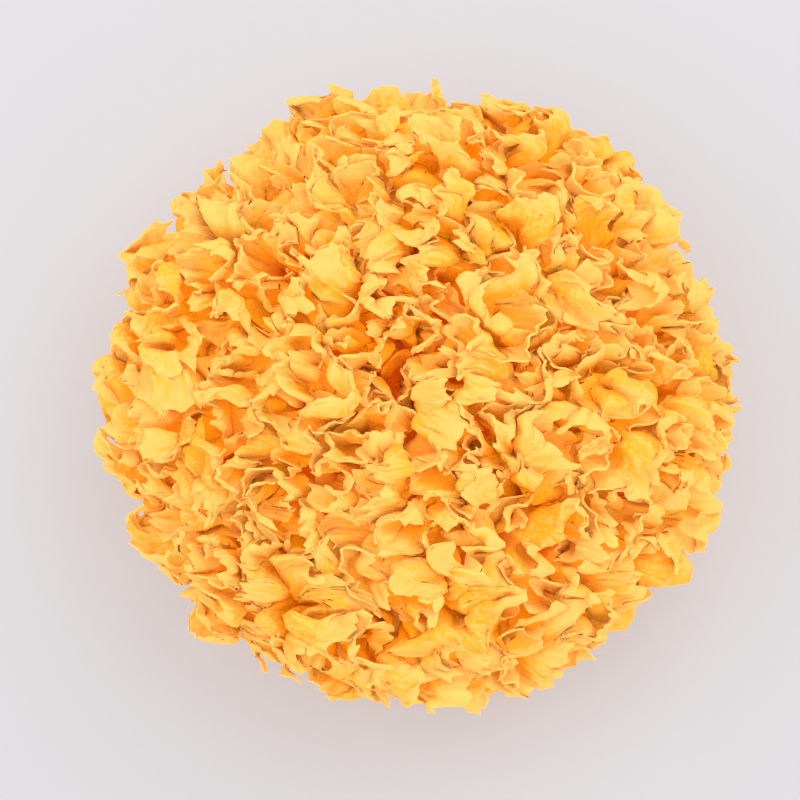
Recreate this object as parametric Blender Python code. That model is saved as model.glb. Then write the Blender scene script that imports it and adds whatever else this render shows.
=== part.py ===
"""Dried snow fungus: a round head of folded, leaf-like fronds that grow out of one cut foot.

The head stands on the flat cut of its foot, at z = 0. Every frond is a thin wall that starts at the
foot, fans out along straight rays and folds back and forth more and more towards its rim. One smooth
bending of the whole head then takes the stiffness out of the rows without letting walls meet.
"""

import math

import bmesh
import bpy
from mathutils import Vector

# The head, in metres
HEAD_WIDTH = 0.150
HEAD_HEIGHT = 0.078
WIDEST_HEIGHT = 0.031
HEAD_UNDERSIDE_DEPTH = 0.036
HEART = Vector((0.0, 0.0, 0.012))

# The foot
FOOT_RADIUS = 0.021
FOOT_LUMP = 0.0005
FOOT_LUMP_PHASES = (1.0, 2.0, 0.0)
FOOT_DETAIL = 3
FOOT_SHARP_EDGE = math.radians(40.0)
FOOT_COLOUR = (0.72, 0.36, 0.08)
FOOT_ROUGHNESS = 0.60
ROOT_GAP = 0.0004

# The rows of fronds, from the crown down: name, polar angles from and to in degrees, folds of each frond
ROWS = (
    ("crown_frond", 6.0, 23.6, (2.0, 2.0)),
    ("inner_frond", 23.6, 41.2, (2.0, 1.5, 2.5, 2.0, 2.0)),
    ("middle_frond", 41.2, 58.8, (2.0, 2.5, 1.5, 2.0, 2.5, 1.5, 2.0)),
    ("outer_frond", 58.8, 76.4, (2.5, 2.0, 1.5, 2.0, 2.5, 2.0, 1.5, 2.0, 2.0)),
    ("skirt_frond", 76.4, 94.0, (2.0, 1.5, 2.5, 2.0, 2.0, 2.5, 1.5, 2.0, 2.0, 2.0)),
)
CELL_SHARE = 0.88
ROW_STAGGER = math.radians(40.0)
ROW_WANDER = (
    # depth, waves round the head, phase
    (math.radians(4.5), 3, 0.7),
    (math.radians(3.0), 7, 2.2),
)

# One frond's wall
POINTS_PER_FOLD = 11
RISES = (0.0, 0.55, 1.0)
ROOT_THICKNESS = 0.0022
RIM_THICKNESS = 0.0012
ROOT_FOLD = 0.14
FOLD_OVERHANG = 0.21
SHORTEST_FROND = 0.90
RIM_SCALLOP = 0.03
SCALLOP_TURN = 5.0
FROND_COLOUR = (0.98, 0.70, 0.27)
FROND_ROUGHNESS = 0.48

# What makes neighbouring fronds differ: where each starts its folding, and its share of the full height
QUARTER_TURN = math.pi / 2.0
QUARTERS_PER_FROND = 3
HEIGHT_STEP_PER_ROW = 0.31
FIRST_HEIGHT_STEP = 0.5
GOLDEN_SHARE = 0.618034

# The bending of the whole head
SWIRL = math.radians(17.0)
CROWN_SHIFT = Vector((-0.005, -0.0005, 0.0))
WAVES = (
    # depth, length, three phases
    (0.0030, 0.066, (0.4, 2.1, 4.4)),
    (0.0013, 0.027, (5.2, 0.9, 3.0)),
)
CROSS_WAVE = 0.7
UPWARD_WAVE = 0.6


def spread(index, seed):
    """An even spread of values from 0 to 1 along a row of indices."""
    return (seed + index * GOLDEN_SHARE) % 1.0


def ease(x):
    """A smooth step from 0 to 1."""
    x = min(max(x, 0.0), 1.0)
    return x * x * (3.0 - 2.0 * x)


def make_material(name, colour, roughness):
    """A plain dull finish."""
    material = bpy.data.materials.new(name)
    material.use_nodes = True
    shader = material.node_tree.nodes["Principled BSDF"]
    shader.inputs["Base Color"].default_value = (*colour, 1.0)
    shader.inputs["Roughness"].default_value = roughness
    shader.inputs["Metallic"].default_value = 0.0
    return material


def add_object(name, shape, material):
    """A named object that owns the bmesh's shape, shaded smooth."""
    mesh = bpy.data.meshes.new(name)
    shape.to_mesh(mesh)
    shape.free()
    mesh.materials.append(material)
    mesh.shade_smooth()
    thing = bpy.data.objects.new(name, mesh)
    bpy.context.scene.collection.objects.link(thing)
    return thing


def ray(polar, turn):
    """The direction at a polar angle from straight up and a turn about the upright axis."""
    return Vector((math.sin(polar) * math.cos(turn), math.sin(polar) * math.sin(turn), math.cos(polar)))


def reach(polar):
    """How far the head reaches from its heart along a ray: an ellipsoid, flatter underneath."""
    across = math.sin(polar)
    up = math.cos(polar)
    lift = WIDEST_HEIGHT - HEART.z
    half_width = HEAD_WIDTH / 2.0
    half_height = HEAD_HEIGHT - WIDEST_HEIGHT
    level_reach = half_width * math.sqrt(1.0 - (lift / HEAD_UNDERSIDE_DEPTH) ** 2)
    if up * level_reach < lift * across:
        half_height = HEAD_UNDERSIDE_DEPTH
    a = (across / half_width) ** 2 + (up / half_height) ** 2
    b = lift * up / half_height**2
    c = (lift / half_height) ** 2 - 1.0
    return (b + math.sqrt(b * b - a * c)) / a


def wander(polar, turn):
    """Lifts and lowers the rows as they go round, with the crown's gap and the lowest rims left level."""
    first, last = math.radians(ROWS[0][1]), math.radians(ROWS[-1][2])
    share = math.sin(math.pi * (polar - first) / (last - first))
    return polar + share * sum(depth * math.sin(waves * turn + phase) for depth, waves, phase in ROW_WANDER)


def bend(point, share):
    """Moves a point by the smooth bending of the whole head. The share is 0 at the foot."""
    moved = point.copy()
    for depth, length, phases in WAVES:
        k = 2.0 * math.pi / length
        moved += depth * share * Vector((
            math.sin(k * point.y + phases[0]) * math.cos(CROSS_WAVE * k * point.z),
            math.sin(k * point.z + phases[1]) * math.cos(CROSS_WAVE * k * point.x),
            UPWARD_WAVE * math.sin(k * point.x + phases[2]) * math.cos(CROSS_WAVE * k * point.y),
        ))
    height = max(point.z / HEAD_HEIGHT, 0.0)
    return moved + CROWN_SHIFT * (share * height * height)


def fold_path(s, folds, phase):
    """A folded line inside a square of side 2: s runs along it from -1 to 1."""
    angle = math.pi * folds * s + phase
    return s - FOLD_OVERHANG / folds * math.sin(2.0 * angle), math.sin(angle)


class Cell:
    """The share of the head that one frond fills, and how the frond folds in it."""

    def __init__(self, row, index):
        name, first, last, folds = ROWS[row]
        turn_of_fold = 2.0 * math.pi / sum(folds)
        self.name = f"{name}_{index + 1:02d}"
        self.folds = folds[index]
        self.polar = math.radians((first + last) / 2.0)
        self.half_polar = math.radians((last - first) / 2.0) * CELL_SHARE
        self.turn = ROW_STAGGER * row + turn_of_fold * (sum(folds[:index]) + self.folds / 2.0)
        self.half_turn = turn_of_fold * self.folds / 2.0 * CELL_SHARE
        self.phase = QUARTER_TURN * ((QUARTERS_PER_FROND * index + row) % 4)
        first_step = HEIGHT_STEP_PER_ROW * row + FIRST_HEIGHT_STEP
        self.height = SHORTEST_FROND + (1.0 - SHORTEST_FROND) * spread(index, first_step)

    def point(self, s, rise):
        """The point of the frond's middle surface at s along the fold and rise from root to rim."""
        along, aside = fold_path(s, self.folds, self.phase)
        opening = ROOT_FOLD + (1.0 - ROOT_FOLD) * rise
        along = s + (along - s) * opening
        aside *= opening
        turn = self.turn + along * self.half_turn
        polar = wander(self.polar + aside * self.half_polar, turn)
        scallop = 1.0 + RIM_SCALLOP * math.sin(SCALLOP_TURN * s + self.turn)
        rim = reach(polar) * self.height * scallop
        root = FOOT_RADIUS + ROOT_GAP
        radius = root + (rim - root) * rise
        share = ease(rise)
        return bend(HEART + radius * ray(polar, turn + SWIRL * share * math.cos(polar)), share)


def make_frond(cell, material):
    """One folded wall, thick at its root and thin at its rim."""
    columns = int(POINTS_PER_FOLD * cell.folds)
    rows = len(RISES) - 1
    shape = bmesh.new()
    bmesh.ops.create_grid(shape, x_segments=columns, y_segments=rows, size=1.0)
    rises = {}
    for vertex in shape.verts:
        s = vertex.co.x
        rise = RISES[round((vertex.co.y + 1.0) / 2.0 * rows)]
        rises[vertex.index] = rise
        vertex.co = cell.point(s, rise)
    frond = add_object(cell.name, shape, material)
    wall = frond.vertex_groups.new(name="wall")
    for index, rise in rises.items():
        thickness = ROOT_THICKNESS + (RIM_THICKNESS - ROOT_THICKNESS) * rise
        wall.add([index], thickness / ROOT_THICKNESS, "REPLACE")
    solidify = frond.modifiers.new("wall", "SOLIDIFY")
    solidify.thickness = ROOT_THICKNESS
    solidify.offset = 0.0
    solidify.vertex_group = wall.name


def make_foot(material):
    """The hard knob that the fronds grow from, cut flat where it was taken off the log."""
    shape = bmesh.new()
    bmesh.ops.create_icosphere(shape, subdivisions=FOOT_DETAIL, radius=FOOT_RADIUS)
    for vertex in shape.verts:
        angles = vertex.co * (2.0 * math.pi / FOOT_RADIUS)
        waves = (math.sin(angle + phase) for angle, phase in zip(angles, FOOT_LUMP_PHASES))
        vertex.co -= vertex.co.normalized() * (FOOT_LUMP * (1.0 + math.prod(waves)) / 2.0)
    bmesh.ops.translate(shape, verts=shape.verts, vec=HEART)
    cut = bmesh.ops.bisect_plane(
        shape,
        geom=shape.verts[:] + shape.edges[:] + shape.faces[:],
        plane_co=(0.0, 0.0, 0.0),
        plane_no=(0.0, 0.0, -1.0),
        clear_outer=True,
    )
    rim = [piece for piece in cut["geom_cut"] if isinstance(piece, bmesh.types.BMEdge)]
    bmesh.ops.edgeloop_fill(shape, edges=rim)
    bmesh.ops.recalc_face_normals(shape, faces=shape.faces)
    foot = add_object("foot", shape, material)
    foot.data.set_sharp_from_angle(angle=FOOT_SHARP_EDGE)


def main():
    for thing in list(bpy.data.objects):
        bpy.data.objects.remove(thing)
    foot_finish = make_material("dried_foot", FOOT_COLOUR, FOOT_ROUGHNESS)
    frond_finish = make_material("dried_frond", FROND_COLOUR, FROND_ROUGHNESS)
    make_foot(foot_finish)
    for row, (_, _, _, folds) in enumerate(ROWS):
        for index in range(len(folds)):
            make_frond(Cell(row, index), frond_finish)


main()
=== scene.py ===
"""The finished look of a dried snow fungus: ruffled, torn, translucent fronds on one hard foot.

Every frond starts as the thin wall that its solid in the frame has. Its rim then grows longer than its
root, as a real one does, so that it buckles into ruffles, while the fronds push each other apart.
"""

import math

import bmesh
import bpy
import numpy as np
from bpy.props import FloatProperty, FloatVectorProperty, IntProperty, PointerProperty
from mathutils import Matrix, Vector


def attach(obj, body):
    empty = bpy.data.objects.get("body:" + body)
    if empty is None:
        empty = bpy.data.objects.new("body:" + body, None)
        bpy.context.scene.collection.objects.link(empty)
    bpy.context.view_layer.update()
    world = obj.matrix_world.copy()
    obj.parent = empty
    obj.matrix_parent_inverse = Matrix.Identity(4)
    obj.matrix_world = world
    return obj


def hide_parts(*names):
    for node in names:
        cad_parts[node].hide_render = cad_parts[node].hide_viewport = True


bl_info = {
    "name": "Dried snow fungus",
    "version": (1, 0, 0),
    "blender": (4, 5, 0),
    "location": "View3D > Sidebar > Fungus",
    "description": "Grows a dried snow fungus head out of its foot",
    "category": "Object",
}

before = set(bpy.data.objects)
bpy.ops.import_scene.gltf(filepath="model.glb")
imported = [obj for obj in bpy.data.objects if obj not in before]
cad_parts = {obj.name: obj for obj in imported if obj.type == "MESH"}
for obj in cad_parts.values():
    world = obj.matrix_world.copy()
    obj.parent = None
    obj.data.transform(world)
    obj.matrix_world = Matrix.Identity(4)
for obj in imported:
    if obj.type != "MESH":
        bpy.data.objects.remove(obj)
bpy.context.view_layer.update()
BODY = "root"

# The rows of fronds, from the crown down: name, polar angles from and to in degrees, folds of each frond
ROWS = (
    ("crown_frond", 6.0, 23.6, (2.0, 2.0)),
    ("inner_frond", 23.6, 41.2, (2.0, 1.5, 2.5, 2.0, 2.0)),
    ("middle_frond", 41.2, 58.8, (2.0, 2.5, 1.5, 2.0, 2.5, 1.5, 2.0)),
    ("outer_frond", 58.8, 76.4, (2.5, 2.0, 1.5, 2.0, 2.5, 2.0, 1.5, 2.0, 2.0)),
    ("skirt_frond", 76.4, 94.0, (2.0, 1.5, 2.5, 2.0, 2.0, 2.5, 1.5, 2.0, 2.0, 2.0)),
)
CELL_SHARE = 0.88
ROW_STAGGER = math.radians(40.0)
ROW_WANDER = (
    # depth, waves round the head, phase
    (math.radians(4.5), 3, 0.7),
    (math.radians(3.0), 7, 2.2),
)

# One young frond, before it grows
ROOT_FOLD = 0.14
FOLD_OVERHANG = 0.21
SHORTEST_FROND = 0.90
ROW_HEIGHT_STEP = 0.31
FIRST_HEIGHT = 0.5
RIM_SCALLOP = 0.03
SCALLOP_TURN = 5.0
QUARTER_TURN = math.pi / 2.0
QUARTERS_PER_FROND = 3
ROOT_SINK = 0.001

# The crown's gap, which is longer one way than the other
GAP_TURN = math.radians(65.0)
GAP_ALONG = np.array((math.cos(GAP_TURN), math.sin(GAP_TURN)), np.float32)
GAP_ACROSS = np.array((-math.sin(GAP_TURN), math.cos(GAP_TURN)), np.float32)
GAP_LENGTH = 2.4

# The bending of the whole head
SWIRL = math.radians(17.0)
CROWN_SHIFT = np.array((-0.005, -0.0005, 0.0))
WAVES = (
    # depth, length, three phases
    (0.0030, 0.066, (0.4, 2.1, 4.4)),
    (0.0013, 0.027, (5.2, 0.9, 3.0)),
)
KNEADS = (
    # depth, length, three phases
    (0.0050, 0.034, (1.1, 3.7, 0.2)),
    (0.0018, 0.017, (2.9, 0.5, 5.1)),
)
CROSS_WAVE = 0.7
UPWARD_WAVE = 0.6
CROSS_KNEAD = 0.8
UPWARD_KNEAD = 0.8
KNEAD_POWER = 0.7
GOLDEN_SHARE = 0.618034

# The hollows of the head's outside: depth as a share of its reach, waves round it, three phases
HOLLOWS = (
    (0.030, 15.0, (0.3, 2.6, 4.0)),
    (0.025, 27.0, (1.9, 0.4, 5.2)),
)

# The broad smooth lobes among the ruffles: x, y and radius
SMOOTH_LOBES = (
    (-0.053, 0.036, 0.013),
    (-0.015, -0.035, 0.014),
    (-0.026, 0.046, 0.009),
    (0.046, -0.056, 0.012),
    (0.061, -0.036, 0.012),
    (-0.060, -0.004, 0.008),
)
LOBE_LOWEST = 0.02

# The stages of the growth, on a finer grid each time
STAGES = (
    # columns and rows of points, steps, share grown at the end, stiffness, share of the rim's lace,
    # waves along and up that start the ruffles, their depth, and the power of the rise that they follow
    (100, 24, 110, 0.45, 0.06, 0.0, (3, 12), (-4.0, 4.0), 0.0012, 1),
    (200, 32, 80, 0.75, 0.07, 0.0, (15, 40), (-6.0, 6.0), 0.0003, 2),
    (400, 32, 60, 1.0, 0.08, 1.0, (30, 80), (-10.0, 10.0), 0.00020, 3),
)
ROW_CROWDING = 0.75
UPWARD_STIFFNESS = 0.05
UPWARD_SMOOTHING = 0.01

# Which part of a frond grows, and where it is held: rises from 0 at the root to 1 at the rim
HELD_RISE = 0.08
FREEING_RISE = 0.15
RUFFLED_RISE = 0.20
FRILL_POWER = 6
LACE_POWER = 12
LEAN_POWER = 1.5
UNEVEN_RIMS = 0.09
LOBE_CALM = 0.7
LOBE_TALLNESS = 1.4

# How the stretches of a frond differ
VARIETY_WAVES = 8
LEVELS = (0.7, 1.25)
VARIETY_STRENGTH = 0.5
LUSH_VARIETY = 0.35
LEAST_TALL = 0.8
TALL_VARIETY = 1.2
RIPPLE_WAVES = 6

# One step of the growth
GROWING_SHARE = 0.8
STRETCH_ROUNDS = 2
STRETCH_PULL = 0.3
CROWD_EVERY = 2
CROWD_PUSH = 1.5e-4
LONGEST_PUSH = 0.0004
HOLLOWS_EVERY = 4
GROWN_REACH = 1.07
REACH_PULL = 0.3
LOWEST_POLAR = math.radians(100.0)
FLOOR_GAP = 0.0012
FLOOR_PUSH = 0.5
GAP_LEVEL = 0.45
GAP_PUSH = 0.3
SHORTEST = 1e-9
NEAR_ZERO = 1e-12

# The grid that the crowding is counted on
CROWD_CELL = 0.0016
CROWD_LOW = (-0.09, -0.09, -0.012)
CROWD_HIGH = (0.09, 0.09, 0.10)
GRID_MARGIN = 1.001
CROWD_BLURS = 4
AROUND_BLURS = 8
ABOVE_DISTANCE = 0.0025
FULLY_CROWDED = 90.0
SQUARE_MILLIMETRES_IN_SQUARE_METRE = 1e6

# Kinks, creases and wrinkles of the dried flesh
KINKS = (
    # length and depth of the facets
    (0.012, 0.0017),
    (0.005, 0.0008),
)
KINK_ROUNDS = 4
KINKED_RISE = 0.2
KINKING_RISE = 0.4
KINK_LENGTHS = (0.8, 1.25)
KINK_WANDER = 0.35
KINK_WANDER_LENGTH = 2.5
PATCH_WAVES = (4, 14)
PATCH_UPWARD = (0.0, 1.0)
PATCH_LEVEL = 0.7
PATCH_RANGE = (0.1, 2.0)
WRINKLE_WAVES = (40.0, 110.0)
WRINKLE_UPWARD = (-2.0, 2.0)
WRINKLE_COUNT = 8
WRINKLE_POWER = 16
CREASE_WAVES = (25.0, 80.0)
CREASE_UPWARD = (-14.0, 14.0)
CREASE_COUNT = 4
CREASE_LEVEL = 0.5
CREASE_DEPTH = 0.00035

# The torn rims
TOOTH_SHARE = 0.7
NEXT_TOOTH_SHARE = 0.15
NOTCH_WAVES = (20, 110)
NOTCH_TOP = 0.2
NOTCH_HEIGHT = 1.2
DEEP_NOTCH_LEVEL = 0.9
DEEP_NOTCH_DEPTH = 2.5
TORN_RISE = 0.86

# The walls and the lowest rims
FOLD_ROUNDS = 10
SHARPEST_FOLD = 0.55
LOWEST_RIM = 0.0006
PRESSED_HEIGHT = 0.006
SHARP_EDGE = math.radians(55.0)
FLAT_THICKNESS = 0.1
WALL_SMOOTHING = 2
TIGHTEST_WALL = 0.4
THINNEST_WALL = 0.00016
# How far inside the head the painted dark red shade of the crown's gap is full
SHADED_DEPTH = 0.022

# The flesh of a frond, with painted shade. The crowding goes from where it has its pale colour to where it
# has its darker orange painted shade
NOISE_RANGE = (0.3, 0.7)
SHADE_CROWDING = (0.25, 0.95)
PATCH_UNEVENNESS = 0.18
MOTTLE_UNEVENNESS = 0.08
FIBRE_UNEVENNESS = 0.10
DRY_RANGE = (1.32, 1.72)
DRY_SHARE = 0.85
CROWDED_DRY_SHARE = 0.1
HOLLOW_SHADE_RANGE = (0.6, 1.0)
PEACH_RANGE = (0.56, 0.70)
PEACH_SHARE = 0.55
THIN_AND_LIT_RANGE = (0.89, 1.0)
THIN_UNEVENNESS = 0.03
CROWDED_THIN_SHARE = 0.4
GRIT_CHANCE = 0.92
GRIT_EDGE = (0.05, 0.07)
FLESH_ROUGHNESS = (0.36, 0.56)
FLESH_SPECULAR = 0.12
GRAIN_RELIEF = 0.5
GLOW_SHARE = 0.5

# The hard knob
FOOT_SUBDIVISIONS = 5
FOOT_LUMP_DEPTH = 0.0006
FOOT_LUMP_PHASES = (1.0, 2.0)
FOOT_LUMP_HEIGHT = 0.8
FOOT_SHARP_EDGE = math.radians(40.0)
STAIN_RANGE = (0.42, 0.66)
STAIN_SHARE = 0.85
PORE_RANGE = (0.10, 0.30)
PORE_SHARE = 0.8
FOOT_ROUGHNESS = (0.50, 0.75)

# The light of the room, and the camera
ROOM_LIGHT = 1.0
THROUGH_LIGHT = 0.68
THROUGH_DISTANCE = 0.004
LIGHT_BOUNCES = 2
ALL_BOUNCES = 3
LAMPS = (
    # name, place, size, power
    ("key_light", (0.50, 0.55, 0.90), 1.0, 3.7),
    ("fill_light", (-0.80, -0.10, 0.70), 1.0, 1.85),
)
FLOOR_SIZE = 3.0
FLOOR_ROUGHNESS = 0.8
CAMERA_ELEVATION = math.radians(80.0)
CAMERA_DISTANCE = 0.75
CAMERA_LENS = 143.0
CAMERA_AIM = (-0.0045, -0.0015)

# The finished mesh of a frond, in bands from the root out: the rise where each ends, its rows and columns
BANDS = (
    (0.40, 3, 75),
    (0.65, 4, 150),
    (0.92, 11, 300),
    (1.00, 4, 600),
)


def length_setting(name, description, default):
    """A setting of the panel that is a length in metres."""
    return FloatProperty(name=name, description=description, default=default, unit="LENGTH")


def share_setting(name, description, default):
    """A setting of the panel that is a share."""
    return FloatProperty(name=name, description=description, default=default)


def colour_setting(name, description, default):
    """A setting of the panel that is a colour."""
    return FloatVectorProperty(name=name, description=description, default=default, subtype="COLOR", size=3)


class FungusHead(bpy.types.PropertyGroup):
    width: length_setting("Width", "Across the whole head", 0.150)
    height: length_setting("Height", "From the cut of the foot to the crown", 0.078)
    widest: length_setting("Widest at", "Height at which the head is widest", 0.031)
    underside: length_setting("Underside", "How far the head bulges below its widest level", 0.036)
    foot_radius: length_setting("Foot radius", "Radius of the hard knob", 0.021)
    crown_gap: length_setting("Crown gap", "Half the width of the gap at the crown", 0.0045)
    heart: length_setting("Heart", "Height of the point that the fronds fan out from", 0.012)


class FungusGrowth(bpy.types.PropertyGroup):
    ruffle: share_setting("Ruffle", "Extra length of a frond towards its rim, as a share", 0.95)
    frill: share_setting("Frill", "Extra length of the very rim, as a share", 1.3)
    curl: share_setting("Curl", "Extra reach of a frond, which makes its rim fold over, as a share", 0.6)
    lace: share_setting("Lace", "Extra length of the thin rim itself, as a share", 1.4)
    lean: length_setting("Lean", "How hard lobes lean over, per step of growth", 0.00012)
    tear: length_setting("Tear", "Depth of the torn teeth along a rim", 0.0007)
    wrinkle: length_setting("Wrinkle", "Depth of the fine wrinkles that run out to a rim", 0.00014)
    rim_thickness: length_setting("Rim thickness", "Thickness of a frond at its rim", 0.0004)
    root_thickness: length_setting("Root thickness", "Thickness of a frond at the foot", 0.0010)
    seed: IntProperty(name="Seed", description="Chooses another head of the same kind", default=7)


class FungusColours(bpy.types.PropertyGroup):
    # Painted shade: the darker orange of a frond down between the crowded fronds
    deep_shade: colour_setting("Deep", "Colour of a frond down inside the head", (1.0, 0.335, 0.003))
    middle: colour_setting("Middle", "Colour of a frond's outer half", (1.0, 0.445, 0.026))
    # Painted shade: the dark red of a frond far down in the crown's gap
    hollow: colour_setting("Hollow", "Colour of a frond far down in the crown's gap", (0.72, 0.10, 0.002))
    peach: colour_setting("Peach", "Colour of the pinkish patches of a frond", (1.0, 0.45, 0.080))
    fibre: colour_setting("Fibre", "Colour of the dry streaks and spots on a frond", (1.0, 0.565, 0.122))
    grit: colour_setting("Grit", "Colour of the few specks of bark and soil", (0.12, 0.04, 0.01))
    # Partly the thin rim's own paler colour and partly a painted highlight
    rim: colour_setting("Rim", "Colour of a frond's thin rim", (1.0, 0.565, 0.140))
    bark: colour_setting("Bark", "Colour of the stains on the hard knob", (0.21, 0.070, 0.017))
    foot: colour_setting("Foot", "Colour of the hard knob", (0.56, 0.25, 0.042))
    floor: colour_setting("Floor", "Colour of the floor", (0.400, 0.397, 0.415))


def reach(head, polar):
    """How far the head reaches from its heart along a ray: an ellipsoid, flatter underneath."""
    across = np.sin(polar)
    up = np.cos(polar)
    lift = head.widest - head.heart
    half_width = head.width / 2.0
    level_reach = half_width * math.sqrt(1.0 - (lift / head.underside) ** 2)
    half_height = np.where(up * level_reach < lift * across, head.underside, head.height - head.widest)
    # The ray leaves the ellipsoid at the larger reach where square * reach**2 - 2 * middle * reach + rest = 0
    square = (across / half_width) ** 2 + (up / half_height) ** 2
    middle = lift * up / half_height**2
    rest = (lift / half_height) ** 2 - 1.0
    return (middle + np.sqrt(middle * middle - square * rest)) / square


def hollow(way):
    """How far the head's outside sinks in along each ray, as a share of its reach."""
    depth = 0.0
    for share, waves, phases in HOLLOWS:
        x, y, z = (waves * way[..., axis] + phases[axis] for axis in range(3))
        depth = depth + share * (1.0 + np.sin(x + np.sin(y)) * np.sin(y + np.sin(z)) * np.sin(z + np.sin(x)))
    return depth


def wander(polar, turn):
    """Lifts and lowers the rows as they go round."""
    first, last = math.radians(ROWS[0][1]), math.radians(ROWS[-1][2])
    share = np.sin(math.pi * (polar - first) / (last - first))
    return polar + share * sum(depth * np.sin(waves * turn + phase) for depth, waves, phase in ROW_WANDER)


def bend(head, points, share):
    """Moves points by the smooth bending of the whole head. The share is 0 at the foot."""
    moved = points.copy()
    x, y, z = points[..., 0], points[..., 1], points[..., 2]
    for depth, length, phases in WAVES:
        pace = 2.0 * math.pi / length
        upward = UPWARD_WAVE * depth * share
        moved[..., 0] += depth * share * np.sin(pace * y + phases[0]) * np.cos(CROSS_WAVE * pace * z)
        moved[..., 1] += depth * share * np.sin(pace * z + phases[1]) * np.cos(CROSS_WAVE * pace * x)
        moved[..., 2] += upward * np.sin(pace * x + phases[2]) * np.cos(CROSS_WAVE * pace * y)
    height = np.maximum(z / head.height, 0.0)
    return moved + CROWN_SHIFT * (share * height * height)[..., None]


def knead(head, sheets, rises):
    """Turns the young fronds this way and that, so that none runs straight from the foot to its rim."""
    share = rises[:, None] ** KNEAD_POWER
    x, y, z = sheets[..., 0:1], sheets[..., 1:2], sheets[..., 2:3]
    moved = sheets.copy()
    for depth, length, phases in KNEADS:
        pace = 2.0 * math.pi / length
        moved += depth * share * np.concatenate(
            (
                np.sin(pace * y + phases[0]) * np.cos(CROSS_KNEAD * pace * z + phases[1]),
                np.sin(pace * z + phases[1]) * np.cos(CROSS_KNEAD * pace * x + phases[2]),
                UPWARD_KNEAD * np.sin(pace * x + phases[2]) * np.cos(CROSS_KNEAD * pace * y + phases[0]),
            ),
            axis=-1,
        )
    return moved


def frond_names():
    """The names of all fronds, row by row."""
    return [f"{name}_{index + 1:02d}" for name, _, _, folds in ROWS for index in range(len(folds))]


def young_fronds(head, columns, rises):
    """The middle surfaces of all fronds before they grow: one array of frond, column, rise and place."""
    place = np.linspace(-1.0, 1.0, columns)[:, None]
    rise = rises[None, :]
    sheets = []
    for row, (_, first, last, all_folds) in enumerate(ROWS):
        turn_of_fold = 2.0 * math.pi / sum(all_folds)
        for index, folds in enumerate(all_folds):
            middle = math.radians((first + last) / 2.0)
            half_polar = math.radians((last - first) / 2.0) * CELL_SHARE
            middle_turn = ROW_STAGGER * row + turn_of_fold * (sum(all_folds[:index]) + folds / 2.0)
            half_turn = turn_of_fold * folds / 2.0 * CELL_SHARE
            phase = QUARTER_TURN * ((QUARTERS_PER_FROND * index + row) % 4)
            tallness = (ROW_HEIGHT_STEP * row + FIRST_HEIGHT + index * GOLDEN_SHARE) % 1.0
            height = SHORTEST_FROND + (1.0 - SHORTEST_FROND) * tallness
            angle = math.pi * folds * place + phase
            opening = ROOT_FOLD + (1.0 - ROOT_FOLD) * rise
            along = place - FOLD_OVERHANG / folds * np.sin(2.0 * angle) * opening
            aside = np.sin(angle) * opening
            turn = middle_turn + along * half_turn
            polar = wander(middle + aside * half_polar, turn)
            scallop = 1.0 + RIM_SCALLOP * np.sin(SCALLOP_TURN * place + middle_turn)
            rim = reach(head, polar) * height * scallop
            root = head.foot_radius - ROOT_SINK
            radius = root + (rim - root) * rise
            share = np.broadcast_to(rise * rise * (3.0 - 2.0 * rise), radius.shape)
            turned = turn + SWIRL * share * np.cos(polar)
            way = np.stack(
                (np.sin(polar) * np.cos(turned), np.sin(polar) * np.sin(turned), np.cos(polar)), axis=-1
            )
            heart = np.array((0.0, 0.0, head.heart))
            sheets.append(bend(head, heart + radius[..., None] * way, share))
    return np.array(sheets)


def spaced_rises(rows):
    """The heights of a frond's rows of points while it grows, closer together towards the rim."""
    share = np.linspace(0.0, 1.0, rows)
    return (share - ROW_CROWDING / 2.0 * share**2) / (1.0 - ROW_CROWDING / 2.0)


def row_places(rises, rows):
    """Between which rows of points the given rises lie: the reverse of spaced_rises."""
    share = (1.0 - np.sqrt(1.0 - 2.0 * ROW_CROWDING * rises * (1.0 - ROW_CROWDING / 2.0))) / ROW_CROWDING
    return share * (rows - 1.0)


def finished_rises():
    """The heights of the rows of points of a finished frond."""
    rises = [0.0]
    for end, rows, _ in BANDS:
        start = rises[-1]
        rises += [start + (end - start) * (row + 1) / rows for row in range(rows)]
    return np.array(rises)


def sample(values, places, axis):
    """Reads values at places between them, along one axis, on a smooth curve."""
    last = values.shape[axis] - 1
    before = np.clip(np.floor(places).astype(int), 0, last - 1)
    shape = [1] * values.ndim
    shape[axis] = len(places)
    share = (places - before).astype(np.float32).reshape(shape)
    near = [np.take(values, np.clip(before + step, 0, last), axis=axis) for step in (-1, 0, 1, 2)]
    first, second, third, fourth = near
    twist = 3.0 * (second - third) + fourth - first
    bow = 2.0 * first - 5.0 * second + 4.0 * third - fourth + share * twist
    return second + 0.5 * share * (third - first + share * bow)


def finer(sheets, columns, rises):
    """The same sheets with more points on them."""
    wide = sample(sheets, np.linspace(0.0, sheets.shape[1] - 1.0, columns), 1)
    return sample(wide, row_places(rises, sheets.shape[2]), 2)


def normals(sheets):
    """The direction across the sheet at every point."""
    across = np.cross(np.gradient(sheets, axis=1), np.gradient(sheets, axis=2))
    return across / (np.linalg.norm(across, axis=-1, keepdims=True) + NEAR_ZERO)


def ripples(rng, shape, waves_along, waves_up, count=RIPPLE_WAVES):
    """Smooth irregular waves over every sheet, from about -1 to 1."""
    fronds, columns, rows = shape
    place_along = np.linspace(0.0, 1.0, columns)[None, :, None]
    place_up = np.linspace(0.0, 1.0, rows)[None, None, :]
    waves = np.zeros(shape)
    for _ in range(count):
        along = rng.uniform(*waves_along, (fronds, 1, 1))
        up = rng.uniform(*waves_up, (fronds, 1, 1))
        phase = rng.uniform(0.0, 2.0 * math.pi, (fronds, 1, 1))
        waves += np.sin(2.0 * math.pi * (along * place_along + up * place_up) + phase)
    return waves / math.sqrt(count)


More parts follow.
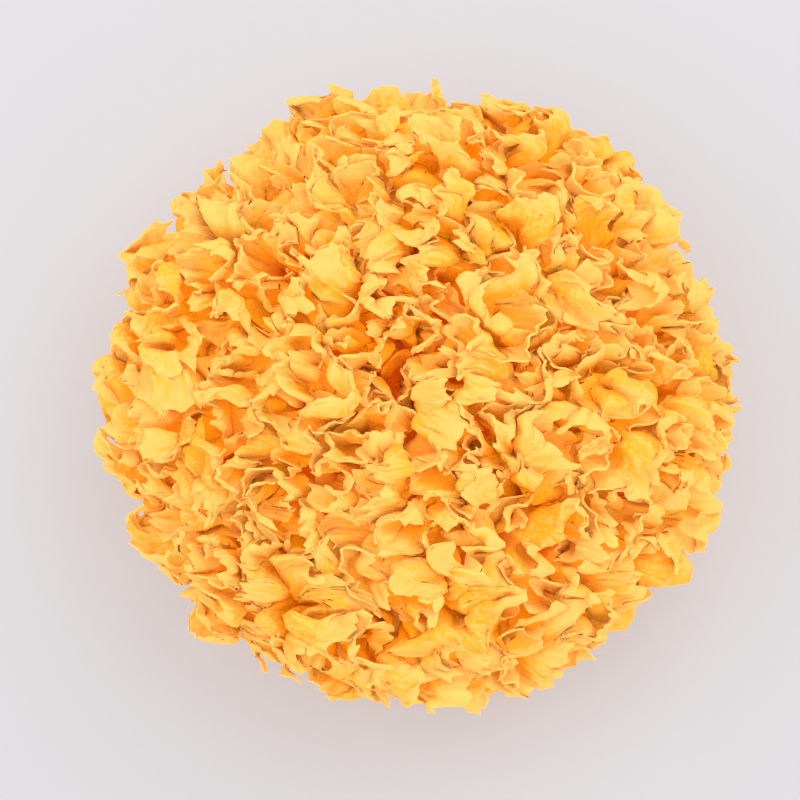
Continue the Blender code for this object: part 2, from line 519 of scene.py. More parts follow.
class Crowd:
    """A grid that holds how much frond there is near each place, and pushes fronds out of the way."""

    def __init__(self, cell, low, high, blurs):
        self.cell = cell
        self.low = np.array(low)
        self.size = np.ceil((np.array(high) - self.low) / cell).astype(int) + 1
        self.blurs = blurs

    def corners(self, points):
        """The eight cells round each point, and the point's share in each."""
        size = self.size
        place = np.clip((points - self.low) / self.cell, GRID_MARGIN, size - 1.0 - GRID_MARGIN)
        corner = place.astype(np.int32)
        share = (place - corner).astype(np.float32)
        base = (corner[:, 0] * size[1] + corner[:, 1]) * size[2] + corner[:, 2]
        corners = []
        for x in (0, 1):
            share_x = share[:, 0] if x else 1.0 - share[:, 0]
            for y in (0, 1):
                share_y = share_x * (share[:, 1] if y else 1.0 - share[:, 1])
                for z in (0, 1):
                    share_z = share_y * (share[:, 2] if z else 1.0 - share[:, 2])
                    corners.append((base + (x * size[1] + y) * size[2] + z, share_z))
        return corners

    def fill(self, corners, weights, blurs):
        """How much frond there is in each cell, smoothed a few times."""
        crowd = np.zeros(int(np.prod(self.size)))
        for index, share in corners:
            crowd += np.bincount(index, weights=share * weights, minlength=crowd.size)
        crowd = crowd.astype(np.float32).reshape(self.size)
        for _ in range(blurs):
            for axis in range(3):
                crowd = 0.5 * crowd + 0.25 * (np.roll(crowd, 1, axis) + np.roll(crowd, -1, axis))
        return crowd

    def slopes(self, points, weights):
        """Which way the crowding rises at each point."""
        corners = self.corners(points)
        crowd = self.fill(corners, weights, self.blurs)
        slopes = np.zeros((len(points), 3), np.float32)
        for axis in range(3):
            slope = (np.roll(crowd, -1, axis) - np.roll(crowd, 1, axis)).ravel()
            for index, share in corners:
                slopes[:, axis] += slope[index] * share
        return slopes

    def crowding_above(self, sheets, weights, heart, points):
        """How crowded it is just outside each point: low on the tips, high down between the ruffles."""
        crowd = self.fill(self.corners(sheets), weights, AROUND_BLURS).ravel()
        way = points - heart
        way /= np.linalg.norm(way, axis=1, keepdims=True)
        crowding = np.zeros(len(points), np.float32)
        for index, share in self.corners(points + way * ABOVE_DISTANCE):
            crowding += crowd[index] * share
        return crowding / np.percentile(crowding, FULLY_CROWDED)


class Rest:
    """The lengths that the fronds' grid lines want to have, fully grown."""

    def __init__(self, head, growth, variety, columns, rows, lace_share):
        self.rises = spaced_rises(rows)
        young = young_fronds(head, columns, self.rises)
        lengths = np.linalg.norm(np.diff(young, axis=1), axis=-1)
        self.young = young.astype(np.float32)
        self.along = lengths.mean(axis=1, keepdims=True).astype(np.float32)
        self.up = np.linalg.norm(np.diff(young, axis=2), axis=-1).astype(np.float32)
        smooth = smoothness(young[:, :, -1])
        near_rim = np.clip((self.rises - RUFFLED_RISE) / (1.0 - RUFFLED_RISE), 0.0, 1.0)
        extra = growth.ruffle * near_rim + growth.frill * near_rim**FRILL_POWER
        extra = extra + growth.lace * lace_share * near_rim**LACE_POWER
        lush = variety.lush(columns) * (1.0 - LOBE_CALM * smooth)
        self.more_along = (lush[:, :-1, None] * extra).astype(np.float32)
        middles = (near_rim[1:] + near_rim[:-1]) / 2.0
        tall = variety.tall(columns) + LOBE_TALLNESS * smooth
        self.more_up = (tall[:, :, None] * (growth.curl * middles)).astype(np.float32)
        lean = variety.waves(2, columns)[:, :, None] * near_rim**LEAN_POWER
        self.lean = (growth.lean * lean)[..., None].astype(np.float32)
        short = 0.5 + 0.5 * variety.waves(3, columns)
        self.short = (1.0 - UNEVEN_RIMS * short[:, :, None]).astype(np.float32)


class Variety:
    """How much more or less each stretch of each frond grows and leans."""

    def __init__(self, rng, fronds):
        self.strengths = rng.normal(0.0, 1.0, (4, fronds, VARIETY_WAVES))
        self.phases = rng.uniform(0.0, 1.0, (4, fronds, VARIETY_WAVES))
        self.level = rng.uniform(*LEVELS, (fronds, 1))

    def waves(self, which, columns):
        """One of four smooth waves along every frond, from -1 to 1."""
        place = np.linspace(0.0, 1.0, columns)[None, :]
        total = 0.0
        for wave in range(VARIETY_WAVES):
            phase = self.phases[which][:, wave : wave + 1]
            strength = self.strengths[which][:, wave : wave + 1]
            total = total + strength * np.cos(2.0 * math.pi * ((wave + 1) * place + phase))
        return np.tanh(VARIETY_STRENGTH * total)

    def lush(self, columns):
        """How much the rim of each stretch grows in length."""
        return self.level * (1.0 + LUSH_VARIETY * self.waves(0, columns))

    def tall(self, columns):
        """How much each stretch grows outwards."""
        return LEAST_TALL + TALL_VARIETY * self.waves(1, columns)


def smoothness(rims):
    """How far each place on the rims belongs to one of the broad smooth lobes, from 0 to 1."""
    share = np.zeros(rims.shape[:-1])
    for x, y, radius in SMOOTH_LOBES:
        away = (rims[..., 0] - x) ** 2 + (rims[..., 1] - y) ** 2
        share = np.maximum(share, np.exp(-away / radius**2) * (rims[..., 2] > LOBE_LOWEST))
    return share


def relax(sheets, rest, head, steps, grown_from, grown_to, stiffness, crowd):
    """Grows the sheets from one share of their full growth to another, and lets them find their place."""
    free = np.clip((rest.rises - HELD_RISE) / FREEING_RISE, 0.0, 1.0)[None, None, :, None].astype(np.float32)
    heart = np.array((0.0, 0.0, head.heart), np.float32)
    shift = CROWN_SHIFT[:2].astype(np.float32)
    for step in range(steps):
        grown = grown_from + (grown_to - grown_from) * min(1.0, (step + 1) / (GROWING_SHARE * steps))
        along = rest.along * (1.0 + rest.more_along * grown)
        up = rest.up * (1.0 + rest.more_up * grown)
        for _ in range(STRETCH_ROUNDS):
            gap = sheets[:, 1:] - sheets[:, :-1]
            length = np.sqrt((gap * gap).sum(-1)) + SHORTEST
            gap *= (STRETCH_PULL * (length - along) / length)[..., None]
            sheets[:, :-1] += gap * free
            sheets[:, 1:] -= gap * free
            gap = sheets[:, :, 1:] - sheets[:, :, :-1]
            length = np.sqrt((gap * gap).sum(-1)) + SHORTEST
            gap *= (STRETCH_PULL * (length - up) / length)[..., None]
            sheets[:, :, :-1] += gap * free[:, :, :-1]
            sheets[:, :, 1:] -= gap * free[:, :, 1:]
        curve = np.zeros_like(sheets)
        curve[:, 1:-1] = 0.5 * (sheets[:, 2:] + sheets[:, :-2]) - sheets[:, 1:-1]
        change = np.zeros_like(sheets)
        change[:, 1:-1] = 0.5 * (curve[:, 2:] + curve[:, :-2]) - curve[:, 1:-1]
        sheets -= stiffness * change * free
        curve[:] = 0.0
        curve[:, :, 1:-1] = 0.5 * (sheets[:, :, 2:] + sheets[:, :, :-2]) - sheets[:, :, 1:-1]
        change[:] = 0.0
        change[:, :, 1:-1] = 0.5 * (curve[:, :, 2:] + curve[:, :, :-2]) - curve[:, :, 1:-1]
        sheets -= UPWARD_STIFFNESS * change * free
        sheets += UPWARD_SMOOTHING * curve * free
        if step % CROWD_EVERY == 0:
            areas = along.mean(axis=1, keepdims=True) * np.pad(up, ((0, 0), (0, 0), (0, 1)), mode="edge")
            weights = (areas * SQUARE_MILLIMETRES_IN_SQUARE_METRE).reshape(-1)
            push = crowd.slopes(sheets.reshape(-1, 3), weights).reshape(sheets.shape) * -CROWD_PUSH
            size = np.sqrt((push * push).sum(-1, keepdims=True))
            sheets += push * np.minimum(1.0, LONGEST_PUSH / (size + NEAR_ZERO)) * free
            sheets += normals(sheets) * rest.lean
        ray = sheets - heart
        radius = np.sqrt((ray * ray).sum(-1))
        polar = np.arccos(np.clip(ray[..., 2] / radius, -1.0, 1.0))
        if step % HOLLOWS_EVERY == 0:
            sunk = (rest.short - hollow(ray / radius[..., None])).astype(np.float32)
        limit = reach(head, np.minimum(polar, LOWEST_POLAR)).astype(np.float32) * sunk * GROWN_REACH
        over = np.maximum(radius - limit, 0.0)
        sheets -= (REACH_PULL * over / radius)[..., None] * ray * free
        low = np.maximum(FLOOR_GAP - sheets[..., 2], 0.0)
        sheets[..., 2] += FLOOR_PUSH * low * free[..., 0]
        height = np.maximum(sheets[..., 2:] / head.height, 0.0)
        aside = sheets[..., :2] - shift * height * height
        stretched = np.stack((aside @ GAP_ACROSS, aside @ GAP_ALONG / GAP_LENGTH), axis=-1)
        distance = np.sqrt((stretched * stretched).sum(-1, keepdims=True)) + SHORTEST
        inside = np.maximum(head.crown_gap * height - distance, 0.0) * (height > GAP_LEVEL)
        sheets[..., :2] += GAP_PUSH * aside / distance * inside
    return sheets


def grow(head, growth):
    """All fronds fully grown: middle surfaces, half walls, the rises of their rows, and their crowding."""
    rng = np.random.default_rng(growth.seed)
    variety = Variety(rng, len(frond_names()))
    crowd = Crowd(CROWD_CELL, CROWD_LOW, CROWD_HIGH, CROWD_BLURS)
    sheets = None
    grown = 0.0
    for columns, rows, steps, grown_to, stiffness, lace_share, waves_along, waves_up, depth, power in STAGES:
        rest = Rest(head, growth, variety, columns, rows, lace_share)
        if sheets is None:
            sheets = knead(head, rest.young, rest.rises).astype(np.float32)
        else:
            sheets = finer(sheets, columns, spaced_rises(rows)).astype(np.float32)
        waves = ripples(rng, sheets.shape[:3], waves_along, waves_up) * rest.rises**power
        sheets += (normals(sheets) * (depth * waves)[..., None]).astype(np.float32)
        sheets = relax(sheets, rest, head, steps, grown, grown_to, stiffness, crowd)
        grown = grown_to
    rises = finished_rises()
    dried = finer(sheets, BANDS[-1][2] + 1, rises)
    for length, depth in KINKS:
        dried = kink(rng, dried, rises, length, depth)
    dried = wrinkle(rng, dried, rises, growth)
    for _ in range(FOLD_ROUNDS):
        open_folds(dried, 1)
        open_folds(dried, 2)
    torn = press_up(tear(rng, dried, rises, growth))
    walls = half_walls(dried, rises, growth)
    areas = rest.along.mean(axis=1, keepdims=True) * np.pad(rest.up, ((0, 0), (0, 0), (0, 1)), mode="edge")
    areas = areas * (1.0 + np.pad(rest.more_along, ((0, 0), (0, 1), (0, 0)), mode="edge"))
    weights = areas.reshape(-1) * SQUARE_MILLIMETRES_IN_SQUARE_METRE
    heart = np.array((0.0, 0.0, head.heart))
    shade_crowding = crowd.crowding_above(sheets.reshape(-1, 3), weights, heart, torn.reshape(-1, 3))
    return torn, walls, rises, shade_crowding.reshape(torn.shape[:3])


def press_up(sheets):
    """Presses the lowest rims up, so that the cut of the foot stays the lowest face of the head."""
    lowest = sheets[..., 2].min()
    low = np.minimum(sheets[..., 2], PRESSED_HEIGHT) - PRESSED_HEIGHT
    sheets[..., 2] += low * ((PRESSED_HEIGHT - LOWEST_RIM) / (PRESSED_HEIGHT - lowest) - 1.0)
    return sheets


def kink(rng, sheets, rises, length, depth):
    """Folds all sheets together along flat facets, as drying does, without pushing one through another."""
    share = np.clip((rises - KINKED_RISE) / KINKING_RISE, 0.0, 1.0)[None, None, :, None]
    moved = sheets.copy()
    for _ in range(KINK_ROUNDS):
        ways = rng.normal(0.0, 1.0, (3, 3))
        across, aside, push = ways / np.linalg.norm(ways, axis=1, keepdims=True)
        waves = (sheets @ across) / (length * rng.uniform(*KINK_LENGTHS)) + rng.uniform(0.0, 1.0)
        waves += KINK_WANDER * np.sin((sheets @ aside) * (2.0 * math.pi / (KINK_WANDER_LENGTH * length)))
        zigzag = 4.0 * np.abs(waves - np.floor(waves + 0.5)) - 1.0
        moved += share * zigzag[..., None] * (depth * push)
    return moved


def wrinkle(rng, sheets, rises, growth):
    """Gives the grown sheets their creases and fine wrinkles."""
    shape = sheets.shape[:3]
    patches = np.clip(ripples(rng, shape, PATCH_WAVES, PATCH_UPWARD) + PATCH_LEVEL, *PATCH_RANGE)
    waves = ripples(rng, shape, WRINKLE_WAVES, WRINKLE_UPWARD, WRINKLE_COUNT) * patches * rises**WRINKLE_POWER
    creases = np.abs(ripples(rng, shape, CREASE_WAVES, CREASE_UPWARD, CREASE_COUNT)) - CREASE_LEVEL
    shift = growth.wrinkle * waves + CREASE_DEPTH * creases * patches * rises**2
    return sheets + normals(sheets) * shift[..., None]


def tear(rng, sheets, rises, growth):
    """Gives the grown sheets their torn rims."""
    shape = sheets.shape[:3]
    outward = softened(sheets[:, :, -1] - sheets[:, :, -3], WALL_SMOOTHING)
    outward /= np.linalg.norm(outward, axis=-1, keepdims=True) + NEAR_ZERO
    teeth = rng.normal(0.0, 1.0, shape[:2])
    teeth = TOOTH_SHARE * teeth + NEXT_TOOTH_SHARE * (np.roll(teeth, 1, axis=1) + np.roll(teeth, -1, axis=1))
    notches = ripples(rng, (*shape[:2], 1), NOTCH_WAVES, (0, 0))[..., 0]
    deep_notches = np.clip(notches - DEEP_NOTCH_LEVEL, 0.0, 1.0) * DEEP_NOTCH_DEPTH
    notches = np.minimum(notches, NOTCH_TOP) * NOTCH_HEIGHT - deep_notches
    cut = growth.tear * (teeth + notches)
    reach_in = np.clip((rises - TORN_RISE) / (1.0 - TORN_RISE), 0.0, 1.0) ** 2
    return sheets + outward[:, :, None] * (cut[:, :, None] * reach_in)[..., None]


def open_folds(sheets, axis):
    """Rounds off every fold that is sharper than the flesh's own thickness lets it be."""
    lines = np.moveaxis(sheets, axis, 0)
    middle = 0.5 * (lines[2:] + lines[:-2]) - lines[1:-1]
    half_gap = 0.5 * np.linalg.norm(lines[2:] - lines[:-2], axis=-1, keepdims=True)
    height = np.linalg.norm(middle, axis=-1, keepdims=True)
    over = np.maximum(height - SHARPEST_FOLD * half_gap, 0.0)
    lines[1:-1] += 0.5 * middle * over / (height + NEAR_ZERO)


def fold_radius(sheets, axis):
    """How round the sheets are at every point along one of their directions."""
    lines = np.moveaxis(sheets, axis, 0)
    height = np.linalg.norm(0.5 * (lines[2:] + lines[:-2]) - lines[1:-1], axis=-1)
    half_gap = 0.5 * np.linalg.norm(lines[2:] - lines[:-2], axis=-1)
    radius = (half_gap**2 + height**2) / (2.0 * height + SHORTEST)
    return np.moveaxis(np.pad(radius, ((1, 1), (0, 0), (0, 0)), mode="edge"), 0, axis)


def softened(values, rounds):
    """The values smoothed a few times along each frond."""
    for _ in range(rounds):
        values[:, 1:-1] = 0.5 * values[:, 1:-1] + 0.25 * (values[:, 2:] + values[:, :-2])
    return values


def half_walls(sheets, rises, growth):
    """The way from the middle of each frond's wall to its side, shorter where the wall folds tightly."""
    across = softened(normals(sheets), WALL_SMOOTHING)
    across /= np.linalg.norm(across, axis=-1, keepdims=True) + NEAR_ZERO
    full = growth.root_thickness + (growth.rim_thickness - growth.root_thickness) * rises**0.5
    roundest = TIGHTEST_WALL * np.minimum(fold_radius(sheets, 1), fold_radius(sheets, 2))
    half = softened(np.minimum(full / 2.0, np.maximum(roundest, THINNEST_WALL / 2.0)), WALL_SMOOTHING)
    return across * half[..., None]


def depth_inside(head, sheets):
    """How far every point lies inside the head: 0 at its outside, 1 where the painted dark red shade of its
    hollows is full.
    """
    ray = sheets - np.array((0.0, 0.0, head.heart))
    radius = np.linalg.norm(ray, axis=-1)
    polar = np.arccos(np.clip(ray[..., 2] / radius, -1.0, 1.0))
    limit = reach(head, np.minimum(polar, LOWEST_POLAR))
    return np.clip((limit - radius) / SHADED_DEPTH, 0.0, 1.0)


def add_node(tree, kind, **values):
    """A new shader node with the named inputs set."""
    node = tree.nodes.new(kind)
    for name, value in values.items():
        node.inputs[name.replace("_", " ")].default_value = value
    return node


def blend_colours(tree, share, first, second):
    """A colour mixed from two others by a share. Each colour may be a socket or a plain colour."""
    node = tree.nodes.new("ShaderNodeMix")
    node.data_type = "RGBA"
    for name, value in (("Factor", share), ("A", first), ("B", second)):
        # The sockets of one name are told apart by whether they are in use
        socket = next(socket for socket in node.inputs if socket.name == name and socket.enabled)
        if isinstance(value, bpy.types.NodeSocket):
            tree.links.new(value, socket)
        else:
            socket.default_value = (*value, 1.0)
    return next(socket for socket in node.outputs if socket.enabled)


def ramp_value(tree, value, low, high, to_low=0.0, to_high=1.0):
    """Maps a value smoothly from one range to another."""
    node = tree.nodes.new("ShaderNodeMapRange")
    node.interpolation_type = "SMOOTHSTEP"
    node.inputs["From Min"].default_value = low
    node.inputs["From Max"].default_value = high
    node.inputs["To Min"].default_value = to_low
    node.inputs["To Max"].default_value = to_high
    tree.links.new(value, node.inputs["Value"])
    return node.outputs["Result"]


def add_values(tree, first, second, operation="ADD"):
    """Two values put together by one sum."""
    node = tree.nodes.new("ShaderNodeMath")
    node.operation = operation
    for socket, value in zip(node.inputs, (first, second)):
        if isinstance(value, bpy.types.NodeSocket):
            tree.links.new(value, socket)
        else:
            socket.default_value = value
    return node.outputs["Value"]


def add_texture(tree, kind, place, **values):
    """A new texture node that reads one kind of place."""
    node = add_node(tree, kind, **values)
    tree.links.new(place, node.inputs["Vector"])
    return node


def noise_value(tree, noise, low, high):
    """A noise stretched over a range."""
    return ramp_value(tree, noise.outputs["Fac"], *NOISE_RANGE, low, high)


def read_attribute(tree, name):
    """The number that a mesh keeps at each of its points under one name."""
    node = tree.nodes.new("ShaderNodeAttribute")
    node.attribute_name = name
    return node.outputs["Fac"]


def new_material(name):
    """A new material, its node tree and its main shader."""
    material = bpy.data.materials.new(name)
    material.use_nodes = True
    return material, material.node_tree, material.node_tree.nodes["Principled BSDF"]


def frond_finish(colours):
    """Thin, dried, translucent flesh with painted shade: darker orange where fronds crowd over it and dark
    red far down in the crown's gap, paler outside, palest along the rim, partly as a painted highlight.
    """
    material, tree, shader = new_material("dried_frond_flesh")
    links = tree.links
    coordinates = tree.nodes.new("ShaderNodeTexCoord")
    place = coordinates.outputs["Object"]
    rim = read_attribute(tree, "rim")
    shade_crowding = read_attribute(tree, "shade_crowding")
    inside = read_attribute(tree, "deep_shade")

    patches = add_texture(tree, "ShaderNodeTexNoise", place, Scale=75.0, Detail=1.0)
    mottle = add_texture(tree, "ShaderNodeTexNoise", place, Scale=420.0, Detail=2.0, Roughness=0.65)
    grain = add_texture(tree, "ShaderNodeTexNoise", place, Scale=1300.0, Detail=1.0, Roughness=0.7)
    grit = add_texture(tree, "ShaderNodeTexVoronoi", place, Scale=110.0)
    fibre_place = add_texture(tree, "ShaderNodeMapping", coordinates.outputs["UV"], Scale=(260.0, 5.0, 1.0))
    fibre_place = fibre_place.outputs["Vector"]
    fibres = add_texture(tree, "ShaderNodeTexNoise", fibre_place, Scale=1.0, Detail=2.0, Roughness=0.6)

    # Painted shade: a darker orange down between the ruffles, where the fronds crowd, standing for light that
    # comes through layers of flesh
    uneven_shade = shade_crowding
    for noise, much in ((patches, PATCH_UNEVENNESS), (mottle, MOTTLE_UNEVENNESS), (fibres, FIBRE_UNEVENNESS)):
        uneven_shade = add_values(tree, uneven_shade, noise_value(tree, noise, -much, much))
    flesh = blend_colours(tree, ramp_value(tree, uneven_shade, *SHADE_CROWDING), colours.middle, colours.deep_shade)

    # Dry streaks and spots, kept mostly to the open flesh as part of its painted light; painted dark red
    # shade far down in the crown's gap; pinkish patches
    streaks = add_values(tree, fibres.outputs["Fac"], mottle.outputs["Fac"])
    dry = ramp_value(tree, add_values(tree, streaks, grain.outputs["Fac"]), *DRY_RANGE, 0.0, DRY_SHARE)
    # Painted light: the pale dry streaks fade where the fronds crowd, so the open flesh looks lit
    painted_light_share = ramp_value(tree, shade_crowding, *SHADE_CROWDING, 1.0, CROWDED_DRY_SHARE)
    flesh = blend_colours(tree, add_values(tree, dry, painted_light_share, "MULTIPLY"), flesh, colours.fibre)
    flesh = blend_colours(tree, ramp_value(tree, inside, *HOLLOW_SHADE_RANGE), flesh, colours.hollow)
    peach = ramp_value(tree, patches.outputs["Color"], *PEACH_RANGE, 0.0, PEACH_SHARE)
    flesh = blend_colours(tree, peach, flesh, colours.peach)

    # The pale rim, partly the thin flesh's own paler colour and partly a painted highlight, less pale where
    # the fronds crowd; and a few specks
    uneven_rim = add_values(tree, rim, noise_value(tree, fibres, -THIN_UNEVENNESS, THIN_UNEVENNESS))
    # The rim's pale band: partly its own thin flesh, partly a painted highlight
    thin = ramp_value(tree, uneven_rim, *THIN_AND_LIT_RANGE)
    painted_light_share = ramp_value(tree, shade_crowding, *SHADE_CROWDING, 1.0, CROWDED_THIN_SHARE)
    flesh = blend_colours(tree, add_values(tree, thin, painted_light_share, "MULTIPLY"), flesh, colours.rim)
    chosen = add_values(tree, grit.outputs["Color"], GRIT_CHANCE, "GREATER_THAN")
    near = ramp_value(tree, grit.outputs["Distance"], *GRIT_EDGE, 1.0, 0.0)
    flesh = blend_colours(tree, add_values(tree, chosen, near, "MULTIPLY"), flesh, colours.grit)
    links.new(flesh, shader.inputs["Base Color"])
    shader.inputs["Specular IOR Level"].default_value = FLESH_SPECULAR
    links.new(noise_value(tree, mottle, *FLESH_ROUGHNESS), shader.inputs["Roughness"])

    relief = add_values(tree, fibres.outputs["Fac"], mottle.outputs["Fac"])
    relief = add_values(tree, relief, add_values(tree, grain.outputs["Fac"], GRAIN_RELIEF, "MULTIPLY"))
    bump = add_node(tree, "ShaderNodeBump", Strength=0.9, Distance=0.0005)
    links.new(relief, bump.inputs["Height"])
    links.new(bump.outputs["Normal"], shader.inputs["Normal"])
    glow = tree.nodes.new("ShaderNodeBsdfTranslucent")
    links.new(flesh, glow.inputs["Color"])
    links.new(bump.outputs["Normal"], glow.inputs["Normal"])
    mix = add_node(tree, "ShaderNodeMixShader", Fac=GLOW_SHARE)
    links.new(shader.outputs["BSDF"], mix.inputs[1])
    links.new(glow.outputs["BSDF"], mix.inputs[2])
    links.new(mix.outputs["Shader"], tree.nodes["Material Output"].inputs["Surface"])
    return material


def foot_finish(colours):
    """Hard dried flesh, darker than the fronds, with bark-brown stains, pores and a raised grain."""
    material, tree, shader = new_material("dried_foot_flesh")
    links = tree.links
    place = tree.nodes.new("ShaderNodeTexCoord").outputs["Object"]
    stains = add_texture(tree, "ShaderNodeTexNoise", place, Scale=150.0, Detail=5.0, Roughness=0.65)
    grain = add_texture(tree, "ShaderNodeTexNoise", place, Scale=900.0, Detail=3.0, Roughness=0.6)
    pores = add_texture(tree, "ShaderNodeTexVoronoi", place, Scale=700.0)
    stained = ramp_value(tree, stains.outputs["Fac"], *STAIN_RANGE, 0.0, STAIN_SHARE)
    flesh = blend_colours(tree, stained, colours.foot, colours.bark)
    hole = ramp_value(tree, pores.outputs["Distance"], *PORE_RANGE, PORE_SHARE, 0.0)
    flesh = blend_colours(tree, hole, flesh, colours.grit)
    links.new(flesh, shader.inputs["Base Color"])
    links.new(noise_value(tree, grain, *FOOT_ROUGHNESS), shader.inputs["Roughness"])
    relief = add_values(tree, grain.outputs["Fac"], stains.outputs["Fac"])
    relief = add_values(tree, relief, hole, "SUBTRACT")
    bump = add_node(tree, "ShaderNodeBump", Strength=0.8, Distance=0.0006)
    links.new(relief, bump.inputs["Height"])
    links.new(bump.outputs["Normal"], shader.inputs["Normal"])
    return material


def face_order(face, rows):
    """A number for each face of the flat frond: first by its side, then by its row, then along the row."""
    middle = face.calc_center_median()
    side = round(2.0 * middle.z / FLAT_THICKNESS)
    row = round(middle.y * rows)
    return 4.0 * (2 * rows * side + row) + middle.x


def flat_frond(columns, rows):
    """A flat square of faces, narrow at the rim and wider towards the root, to be laid on a grown frond."""
    shape = bmesh.new()
    shape.loops.layers.uv.new("UVMap")
    bmesh.ops.create_grid(shape, x_segments=columns, y_segments=rows, size=1.0, calc_uvs=True)
    spare = []
    steps = []
    for _, band_rows, band_columns in BANDS:
        steps += [columns // band_columns] * band_rows
    for edge in shape.edges:
        start, end = edge.verts
        if abs(start.co.x - end.co.x) < 0.5 / columns:
            column = round((start.co.x + 1.0) / 2.0 * columns)
            row = int((min(start.co.y, end.co.y) + 1.0) / 2.0 * rows + 0.5)
            if column % steps[row]:
                spare.append(edge)
    bmesh.ops.dissolve_edges(shape, edges=spare, use_verts=True)
    bmesh.ops.solidify(shape, geom=shape.faces[:], thickness=FLAT_THICKNESS)
    bmesh.ops.recalc_face_normals(shape, faces=shape.faces)
    # Whether the side at z = 0 faces up, which the way across a grown frond is measured against
    half = FLAT_THICKNESS / 2.0
    level = next(face for face in shape.faces if all(abs(vertex.co.z) < half for vertex in face.verts))
    up = 1.0 if level.normal.z > 0.0 else -1.0
    # The steps above leave the faces in any order, and this gives them the same order in each run
    shape.faces.sort(key=lambda face: face_order(face, rows))
    flat = bpy.data.meshes.new("flat_frond")
    shape.to_mesh(flat)
    shape.free()
    return flat, up


def add_piece(name, mesh, material):
    """Puts a finished mesh into the scene, smoothly shaded."""
    mesh.materials.append(material)
    mesh.shade_smooth()
    piece = bpy.data.objects.new(name, mesh)
    bpy.context.scene.collection.objects.link(piece)
    return piece


class FUNGUS_OT_foot(bpy.types.Operator):
    """Makes the hard knob that the fronds grow from, cut flat underneath"""

    bl_idname = "fungus.make_foot"
    bl_label = "Make the foot"

    def execute(self, context):
        head = context.scene.fungus_head
        shape = bmesh.new()
        bmesh.ops.create_icosphere(shape, subdivisions=FOOT_SUBDIVISIONS, radius=head.foot_radius)
        first, second = FOOT_LUMP_PHASES
        for vertex in shape.verts:
            x, y, z = vertex.co * (2.0 * math.pi / head.foot_radius)
            lump = 0.5 + 0.5 * math.sin(x + first) * math.sin(y + second) * math.sin(FOOT_LUMP_HEIGHT * z)
            vertex.co -= vertex.co.normalized() * (FOOT_LUMP_DEPTH * lump)
        bmesh.ops.translate(shape, verts=shape.verts, vec=(0.0, 0.0, head.heart))
        cut = bmesh.ops.bisect_plane(
            shape, geom=shape.verts[:] + shape.edges[:] + shape.faces[:],
            plane_co=(0.0, 0.0, 0.0), plane_no=(0.0, 0.0, -1.0), clear_outer=True,
        )
        rim = [part for part in cut["geom_cut"] if isinstance(part, bmesh.types.BMEdge)]
        bmesh.ops.edgeloop_fill(shape, edges=rim)
        bmesh.ops.recalc_face_normals(shape, faces=shape.faces)
        mesh = bpy.data.meshes.new("foot_knob")
        shape.to_mesh(mesh)
        shape.free()
        foot = add_piece("foot_knob", mesh, foot_finish(context.scene.fungus_colours))
        mesh.set_sharp_from_angle(angle=FOOT_SHARP_EDGE)
        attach(foot, BODY)
        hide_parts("foot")
        return {"FINISHED"}


class FUNGUS_OT_fronds(bpy.types.Operator):
    """Grows all the fronds together, so that they crowd each other"""

    bl_idname = "fungus.grow_fronds"
    bl_label = "Grow the fronds"

    def execute(self, context):
        head = context.scene.fungus_head
        growth = context.scene.fungus_growth
        material = frond_finish(context.scene.fungus_colours)
        sheets, walls, rises, shade_crowding = grow(head, growth)
        deep_shade = depth_inside(head, sheets)
        columns, rows = sheets.shape[1:3]
        flat, up = flat_frond(columns - 1, rows - 1)
        places = np.empty(len(flat.vertices) * 3)
        flat.vertices.foreach_get("co", places)
        places = places.reshape(-1, 3)
        column = np.rint((places[:, 0] + 1.0) / 2.0 * (columns - 1)).astype(int)
        row = np.rint((places[:, 1] + 1.0) / 2.0 * (rows - 1)).astype(int)
        side = np.where(np.abs(places[:, 2:]) > FLAT_THICKNESS / 2.0, -1.0, 1.0) * up
        for index, name in enumerate(frond_names()):
            mesh = flat.copy()
            points = sheets[index, column, row] + side * walls[index, column, row]
            mesh.vertices.foreach_set("co", points.astype(np.float32).ravel())
            # The crowding and the depth inside the head set the painted shade of the flesh
            for key, values in (
                ("rim", rises[row]),
                ("shade_crowding", shade_crowding[index, column, row]),
                ("deep_shade", deep_shade[index, column, row]),
            ):
                attribute = mesh.attributes.new(key, "FLOAT", "POINT")
                attribute.data.foreach_set("value", values.astype(np.float32))
            frond = add_piece(f"ruffled_{name}", mesh, material)
            mesh.set_sharp_from_angle(angle=SHARP_EDGE)
            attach(frond, BODY)
            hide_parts(name)
        bpy.data.meshes.remove(flat)
        return {"FINISHED"}


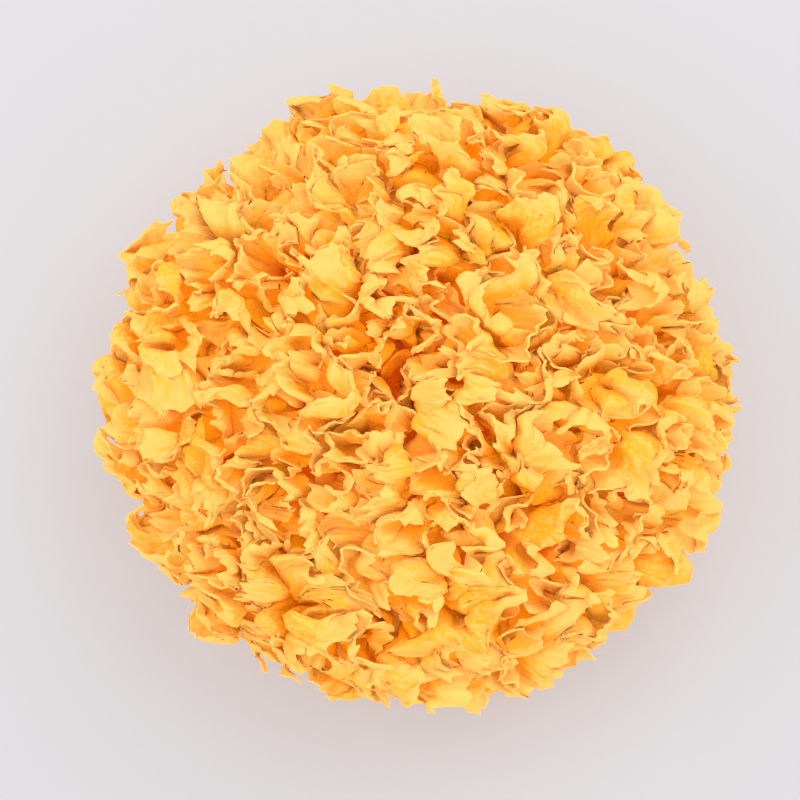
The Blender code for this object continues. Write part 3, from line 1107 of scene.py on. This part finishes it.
class FUNGUS_OT_stage(bpy.types.Operator):
    """Sets the pale floor, the soft lights and the camera"""

    bl_idname = "fungus.set_stage"
    bl_label = "Set the stage"

    def execute(self, context):
        scene = context.scene
        shape = bmesh.new()
        bmesh.ops.create_grid(shape, x_segments=1, y_segments=1, size=FLOOR_SIZE)
        mesh = bpy.data.meshes.new("floor")
        shape.to_mesh(mesh)
        shape.free()
        material, _, shader = new_material("pale_floor")
        shader.inputs["Base Color"].default_value = (*scene.fungus_colours.floor, 1.0)
        shader.inputs["Roughness"].default_value = FLOOR_ROUGHNESS
        floor = add_piece("floor", mesh, material)
        scene.view_settings.view_transform = "Standard"
        scene.cycles.max_bounces = ALL_BOUNCES
        scene.cycles.diffuse_bounces = LIGHT_BOUNCES
        # Flesh this thin lets light through to the hollows from many sides, which this stands for
        scene.cycles.use_fast_gi = True
        scene.cycles.fast_gi_method = "ADD"
        scene.cycles.ao_bounces_render = 1
        world = bpy.data.worlds.new("soft_room")
        world.use_nodes = True
        background = world.node_tree.nodes["Background"]
        background.inputs["Color"].default_value = (1.0, 1.0, 1.0, 1.0)
        background.inputs["Strength"].default_value = ROOM_LIGHT
        world.light_settings.distance = THROUGH_DISTANCE
        world.light_settings.ao_factor = THROUGH_LIGHT
        scene.world = world
        target = Vector((*CAMERA_AIM, scene.fungus_head.widest))
        for name, place, size, power in LAMPS:
            light = bpy.data.lights.new(name, "AREA")
            light.size = size
            light.energy = power
            lamp = bpy.data.objects.new(name, light)
            lamp.location = place
            lamp.rotation_euler = (target - lamp.location).to_track_quat("-Z", "Y").to_euler()
            scene.collection.objects.link(lamp)
        back = Vector((0.0, -math.cos(CAMERA_ELEVATION), math.sin(CAMERA_ELEVATION)))
        data = bpy.data.cameras.new("camera")
        data.lens = CAMERA_LENS
        camera = bpy.data.objects.new("camera", data)
        camera.location = target + back * CAMERA_DISTANCE
        camera.rotation_euler = (-back).to_track_quat("-Z", "Y").to_euler()
        scene.collection.objects.link(camera)
        scene.camera = camera
        return {"FINISHED"}


class FUNGUS_PT_panel(bpy.types.Panel):
    bl_label = "Dried snow fungus"
    bl_idname = "FUNGUS_PT_panel"
    bl_space_type = "VIEW_3D"
    bl_region_type = "UI"
    bl_category = "Fungus"

    def draw(self, context):
        layout = self.layout
        for group, _ in SETTINGS:
            settings = getattr(context.scene, group)
            box = layout.box()
            for name in settings.__annotations__:
                box.prop(settings, name)
        for operator in OPERATORS:
            layout.operator(operator.bl_idname)


OPERATORS = (FUNGUS_OT_foot, FUNGUS_OT_fronds, FUNGUS_OT_stage)
SETTINGS = (("fungus_head", FungusHead), ("fungus_growth", FungusGrowth), ("fungus_colours", FungusColours))


def register():
    for name, group in SETTINGS:
        bpy.utils.register_class(group)
        setattr(bpy.types.Scene, name, PointerProperty(type=group))
    for operator in OPERATORS:
        bpy.utils.register_class(operator)
    bpy.utils.register_class(FUNGUS_PT_panel)


def unregister():
    bpy.utils.unregister_class(FUNGUS_PT_panel)
    for operator in reversed(OPERATORS):
        bpy.utils.unregister_class(operator)
    for name, group in reversed(SETTINGS):
        delattr(bpy.types.Scene, name)
        bpy.utils.unregister_class(group)


def main():
    register()
    bpy.ops.fungus.make_foot()
    bpy.ops.fungus.grow_fronds()
    bpy.ops.fungus.set_stage()


if __name__ == "__main__":
    main()
